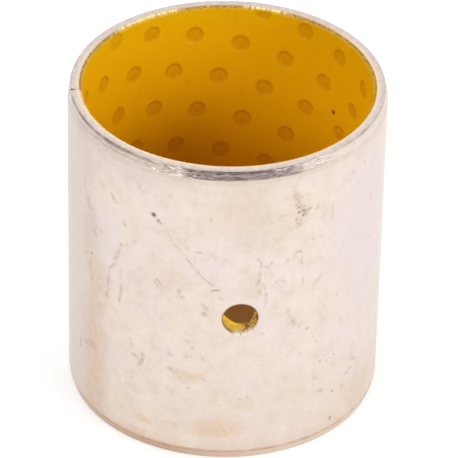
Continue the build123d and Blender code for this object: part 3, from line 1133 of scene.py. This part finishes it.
def hole_wall(n, colour):
    """The punched wall: gold smeared over it, a soft dark edge at the left, and a raised burr below,
    painted pale as a highlight.
    """
    from_hole, front = outside_hole(n)
    wall = n.times(n.ramp(from_hole, 0.14, 0.06), front)
    colour = n.mix(wall, colour, hole_gold(n))
    drawn_in = n.times(wall, n.ramp(n.radius, OUTSIDE_RADIUS - 0.95, OUTSIDE_RADIUS - 0.55))
    edge = n.times(n.ramp(from_hole, -0.02, 0.06), n.ramp(from_hole, 0.34, 0.10))
    edge = n.most(edge, n.times(drawn_in, 0.85))
    to_left = n.ramp(n.across, 0.6, -1.6, 0.30, 0.90)
    colour = n.mix(n.times(edge, front, to_left), colour, shade(148, 118, 54))
    below = n.times(n.ramp(n.height, HOLE_HEIGHT - 1.5, HOLE_HEIGHT - 2.6), n.ramp(n.across, -1.7, -0.6))
    around = n.times(n.ramp(from_hole, 0.62, 0.25), n.ramp(from_hole, 0.02, 0.12))
    lip = n.most(around, drawn_in)
    speckle = n.noise(n.place, 0.42, 3, 0.7)
    # painted highlight on the raised burr below the hole
    lip_highlight_colour = n.mix(n.ramp(speckle, 0.46, 0.64), shade(244, 228, 212), shade(178, 160, 128))
    return n.mix(n.times(lip, below, front, 0.90), colour, lip_highlight_colour), wall


def seam_shade(n, colour):
    """Painted shade in the seam: a dark line, deepest where it gapes outside."""
    at_seam = n.times(n.ramp(n.math("ABSOLUTE", n.y), 0.28, 0.10), n.ramp(n.x, 0, -1))
    outer_half = n.ramp(n.radius, BORE_RADIUS + 1.0, BORE_RADIUS + 1.7, 0.15, 0.9)
    # painted shade in the seam's gap
    return n.mix(n.times(at_seam, outer_half), colour, shade(84, 70, 60))


def tinned_steel():
    n = Nodes("tinned_steel")
    colour, clouds, grain, rolled = tin_plate(n)
    colour = stains_and_side_shade(n, colour)
    colour = marks(n, colour)
    colour = end_face(n, colour)
    colour, on_lead, streaks = lead_wear_and_shade(n, colour)
    colour, wall = hole_wall(n, colour)
    colour = seam_shade(n, colour)
    roughness = n.ramp(clouds, 0.3, 0.7, 0.38, 0.46)
    roughness = n.math("SUBTRACT", roughness, n.times(on_lead, 0.16))
    roughness = n.math("ADD", roughness, n.times(wall, 0.20))
    normal = n.bump(rolled, 0.006)
    normal = n.bump(grain, 0.008, normal)
    normal = n.bump(streaks, 0.035, normal)
    normal = n.bump(n.times(n.noise(n.place, 0.4, 3, 0.7), wall), 0.10, normal)
    metallic = n.ramp(wall, 0, 1, 1.0, 0.05)
    n.set(Base_Color=colour, Metallic=metallic, Roughness=roughness, Normal=normal)
    return n.material


def bronze_grains(n):
    """Pale gold as a painted highlight in dashes along the edge, duller and browner elsewhere, with fine
    grains.
    """
    grains = n.noise(n.place, 0.30, 3, 0.7)
    painted_shine = painted_glints(n)
    dull = n.mix(n.ramp(grains, 0.40, 0.60), shade(214, 172, 104), shade(134, 104, 52))
    # pale gold of the painted highlight
    bright = n.mix(n.ramp(grains, 0.45, 0.70, 0, 0.4), shade(255, 234, 172), shade(226, 186, 110))
    return n.mix(painted_shine, dull, bright), grains


def sintered_bronze():
    n = Nodes("sintered_bronze")
    colour, grains = bronze_grains(n)
    in_hole = n.ramp(n.radius, STEEL_RADIUS + 0.2, STEEL_RADIUS + 0.1)
    middle = n.times(in_hole, n.ramp(n.from_end, 10, 20))
    colour = n.mix(middle, colour, hole_gold(n))
    normal = n.bump(grains, 0.02)
    n.set(Base_Color=colour, Metallic=n.ramp(middle, 0, 1, 1.0, 0.05), Roughness=0.40, Normal=normal)
    return n.material


def dimple_lean(n):
    """How far the bore's surface faces down and to the left, as the upper right side of a dimple does."""
    x, y, upward = n.split(n.add("ShaderNodeNewGeometry").outputs["Normal"])
    round_bore = n.math("SUBTRACT", n.times(n.x, y), n.times(n.y, x))
    to_left = n.times(round_bore, 0.25 / BORE_RADIUS)
    return n.math("SUBTRACT", to_left, upward)


def bore_colour(n, fine):
    """Deep yellow with soft smudges, painted shade in the dimples and lower down at the left, and one dark
    speck.
    """
    clouds = n.noise(n.place, 9, 2, 0.5)
    smudges = n.noise(n.place, 2.6, 4, 0.65)
    colour = n.mix(clouds, shade(243, 187, 4), shade(241, 184, 0))
    colour = n.mix(n.ramp(smudges, 0.56, 0.80, 0, 0.22), colour, shade(200, 134, 6))
    depth = n.math("SUBTRACT", n.radius, BORE_RADIUS)
    within = n.ramp(n.from_end, MOUTH_CHAMFER, MOUTH_CHAMFER + 0.1)
    patchy = n.ramp(fine, 0.3, 0.7, 0.55, 1.0)
    # painted shade in the dimples: darker where the surface faces down and to the left, and in their
    # hollows
    dimple_shade = n.math("ADD", n.ramp(dimple_lean(n), 0.0, 0.30, 0, 0.18), n.ramp(depth, 0.0, 0.08, 0, 0.36))
    colour = n.mix(n.times(dimple_shade, within, patchy), colour, shade(176, 88, 0))
    speck = n.vector("DISTANCE", n.wander(n.place, 0.5, 0.15), LINING_SPECK)
    colour = n.mix(n.ramp(speck, 0.58, 0.24, 0, 0.95), colour, shade(104, 22, 0))
    # painted shade lower down in the bore, towards the left
    low_left_shade = n.times(n.ramp(n.height, 0.78 * LENGTH, 0.5 * LENGTH), n.ramp(n.x, 6, -6, 0.0, 0.17))
    return n.mix(low_left_shade, colour, shade(150, 80, 0))


def mouth_colour(n, colour):
    """Greener yellow just inside the mouths, and bronze grains in their cut edge, pale where a painted
    highlight falls.
    """
    mouth = n.times(n.ramp(n.from_end, 3.5, 0.8, 0, 0.45), n.ramp(n.x, 10, -10, 0.25, 1.0))
    colour = n.mix(mouth, colour, shade(238, 200, 0))
    grains = n.noise(n.place, 0.34, 3, 0.7)
    cut_edge = n.ramp(n.from_end, MOUTH_CHAMFER + 0.15, 0.5 * MOUTH_CHAMFER, 0, 0.90)
    keyed = n.times(cut_edge, n.ramp(grains, 0.42, 0.58, 0.20, 0.85))
    # bronze grains in the cut edge, pale where the painted highlight falls
    return n.mix(keyed, colour, n.mix(painted_glints(n), shade(150, 112, 30), shade(232, 186, 80)))


def yellow_acetal():
    """Satin yellow plastic, with gold where the punch cut the oil hole through it."""
    n = Nodes("yellow_acetal")
    fine = n.noise(n.place, 0.5, 3, 0.6)
    lines = n.noise(n.scaled(n.strip, 0.05, 1, 1), 0.35, 2, 0.5)
    colour = mouth_colour(n, bore_colour(n, fine))
    from_hole, front = outside_hole(n)
    colour = n.mix(n.times(n.ramp(from_hole, 0.10, 0.0), front), colour, hole_gold(n))
    normal = n.bump(fine, 0.004, n.bump(lines, 0.003))
    n.set(Base_Color=colour, Roughness=0.36, Normal=normal, Specular_IOR_Level=0.35)
    return n.material


# ---- Studio ----

def make_camera():
    """The camera stands about 0.7 m off, 35 degrees up, and 6 degrees round from the oil hole."""
    camera = bpy.data.objects.new("camera", bpy.data.cameras.new("camera"))
    bpy.context.scene.collection.objects.link(camera)
    camera.data.lens = CAMERA_LENS
    camera.data.sensor_width = SENSOR_WIDTH
    camera.data.clip_start = 0.01
    turn = Matrix.Rotation(radians(CAMERA_TURN), 3, "Z")
    eye = turn @ Vector(CAMERA_PLACE) * MM
    target = turn @ Vector(CAMERA_TARGET) * MM
    towards = (target - eye).normalized()
    across = towards.cross(Vector((0, 0, 1))).normalized()
    upright = across.cross(towards)
    roll = Matrix.Rotation(radians(CAMERA_ROLL), 3, towards)
    axes = Matrix((roll @ across, roll @ upright, -towards)).transposed()
    camera.matrix_world = Matrix.Translation(eye) @ axes.to_4x4()
    bpy.context.scene.camera = camera


def make_floor():
    """A pale floor that reads white where it is lit, keeps the bush's shadow and is dark in its bore."""
    bpy.ops.mesh.primitive_circle_add(vertices=96, radius=FLOOR_RADIUS, fill_type="NGON")
    floor = bpy.context.object
    floor.name = "floor"
    material = bpy.data.materials.new("floor")
    material.use_nodes = True
    n = Tree(material.node_tree)
    n.tree.nodes.clear()
    from_axis = n.vector("LENGTH", n.add("ShaderNodeTexCoord").outputs["Object"])
    outside = n.remap(from_axis, STEEL_RADIUS * MM, OUTSIDE_RADIUS * MM)
    bounce = n.made("ShaderNodeBsdfDiffuse", n.remap(outside, 0, 1, 0.80, 0.62))
    white = n.add("ShaderNodeEmission")
    white.inputs["Strength"].default_value = 0.50
    lit = n.made("ShaderNodeAddShader", bounce, white.outputs[0])
    choice = n.made("ShaderNodeMixShader", n.times(n.seen_directly(), outside), bounce, lit)
    n.made("ShaderNodeOutputMaterial", choice)
    floor.data.materials.append(material)


def make_world():
    """A white tent, where it is seen. It lights from a belt, which is dark high up behind the camera."""
    world = bpy.data.worlds.new("studio")
    bpy.context.scene.world = world
    world.use_nodes = True
    n = Tree(world.node_tree)
    direction = n.add("ShaderNodeTexCoord").outputs["Generated"]
    upward = n.split(direction)["Z"]
    behind = n.vector("DOT_PRODUCT", direction, (cos(BEHIND_CAMERA), sin(BEHIND_CAMERA), 0))
    opening = n.times(n.ramp(behind, 0.42, 0.62), n.ramp(upward, 0.54, 0.60))
    belt = n.ramp(upward, 0.36, 0.46, 0.04, 2.3)
    above = n.ramp(upward, 0.70, 0.78, 1, 0.05)
    soft = n.times(belt, above, n.ramp(opening, 0, 1, 1, 0.05))
    background = n.tree.nodes["Background"]
    background.inputs["Color"].default_value = (1, 1, 1, 1)
    n.link(n.remap(n.seen_directly(), 0, 1, soft, 1.0), background.inputs["Strength"])


def make_lamp(name, position, size, power):
    """A soft square lamp that faces the middle of the bush."""
    data = bpy.data.lights.new(name, "AREA")
    data.size = size
    data.energy = power
    lamp = bpy.data.objects.new(name, data)
    bpy.context.scene.collection.objects.link(lamp)
    aim = Vector(position) - Vector((0, 0, LENGTH / 2 * MM))
    lamp.matrix_world = Matrix.Translation(position) @ aim.to_track_quat("Z", "Y").to_matrix().to_4x4()


make_steel(tinned_steel())
make_bronze(sintered_bronze())
make_lining(yellow_acetal())
make_camera()
make_floor()
make_world()
for lamp in LAMPS:
    make_lamp(*lamp)
bpy.context.scene.view_settings.view_transform = "Standard"

bpy.context.view_layer.update()
